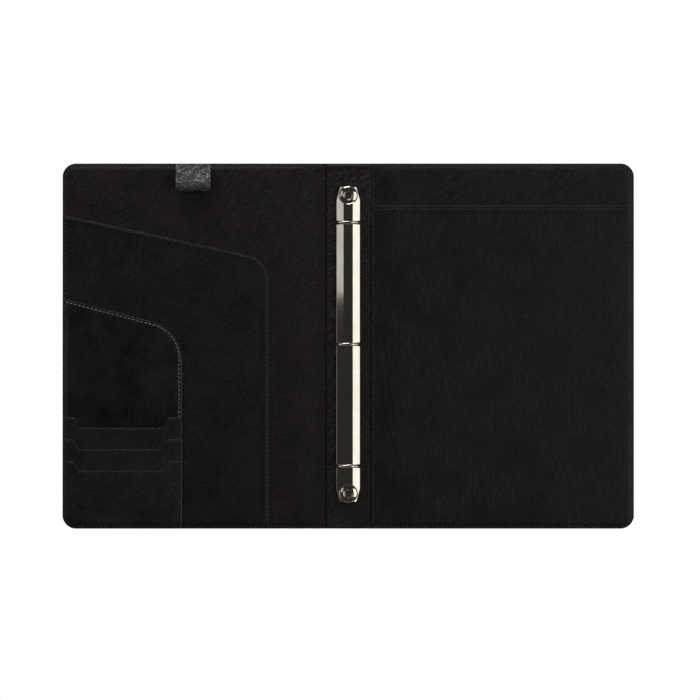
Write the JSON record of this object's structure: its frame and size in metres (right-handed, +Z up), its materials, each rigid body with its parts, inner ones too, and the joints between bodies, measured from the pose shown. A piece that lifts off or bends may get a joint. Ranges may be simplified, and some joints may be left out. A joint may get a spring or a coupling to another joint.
{
  "type": "portfolio case",
  "caption": "Leather portfolio case that lies open flat: padded covers, slanted document pocket, card slots, pen loop, notepad pocket and a ring binder on the spine.",
  "frame": {"origin": "underside of the spine, middle of the open case", "axes": "+X to the right across the open case, seen from above with its top edge away; +Y to the top edge; +Z up"},
  "size_m": [0.507, 0.324, 0.0247],
  "materials": {
    "outer_leather": "black smooth-grain cowhide, softly padded, satin",
    "lining_leather": "black fine-grain leather with faint brown mottling, satin",
    "pocket_leather": "black fine-grain leather, edges stitched in black thread, satin to glossy",
    "nickel": "polished warm nickel plate",
    "steel": "bright zinc-plated sheet steel",
    "greyboard": "grey pressed fibre board",
    "foam": "closed-cell foam sheet"
  },
  "bodies": {
    "spine": {"spine_outer_leather": "outer_leather", "spine_board": "greyboard", "spine_lining": "lining_leather", "front_hinge_leather": "outer_leather", "back_hinge_leather": "outer_leather", "ring_cover_plate": "nickel", "ring_rivets": "nickel", "rivet_washers": "steel"},
    "front_cover": {"front_outer_leather": "outer_leather", "front_foam": "foam", "front_board": "greyboard", "front_lining": "lining_leather", "document_pocket": "pocket_leather", "card_panel": "pocket_leather", "card_slot_top": "pocket_leather", "card_slot_middle": "pocket_leather", "card_slot_bottom": "pocket_leather", "pen_loop": "pocket_leather"},
    "back_cover": {"back_outer_leather": "outer_leather", "back_foam": "foam", "back_board": "greyboard", "back_lining": "lining_leather", "notepad_pocket": "pocket_leather"},
    "left_ring_bar": {"left_hinge_blade": "steel", "left_ring_top": "nickel", "left_ring_middle": "nickel", "left_ring_bottom": "nickel"},
    "right_ring_bar": {"right_hinge_blade": "steel", "right_ring_top": "nickel", "right_ring_middle": "nickel", "right_ring_bottom": "nickel"}
  },
  "joints": [
    {"name": "front_cover_hinge", "type": "hinge", "parent": "spine", "child": "front_cover", "pos_m": [-0.0232, 0, 0.001], "axis": [0, 1, 0], "range_deg": [0, 90], "deforming": ["front_hinge_leather"]},
    {"name": "back_cover_hinge", "type": "hinge", "parent": "spine", "child": "back_cover", "pos_m": [0.0232, 0, 0.001], "axis": [0, -1, 0], "range_deg": [0, 90], "deforming": ["back_hinge_leather"]},
    {"name": "left_ring_hinge", "type": "hinge", "parent": "spine", "child": "left_ring_bar", "pos_m": [-0.0093, 0, 0.006], "axis": [0, -1, 0], "range_deg": [0, 17]},
    {"name": "right_ring_hinge", "type": "hinge", "parent": "spine", "child": "right_ring_bar", "pos_m": [0.0093, 0, 0.006], "axis": [0, 1, 0], "range_deg": [0, 17]}
  ],
  "couplings": [
    {"joint": "right_ring_hinge", "follows": "left_ring_hinge", "ratio": 1}
  ]
}
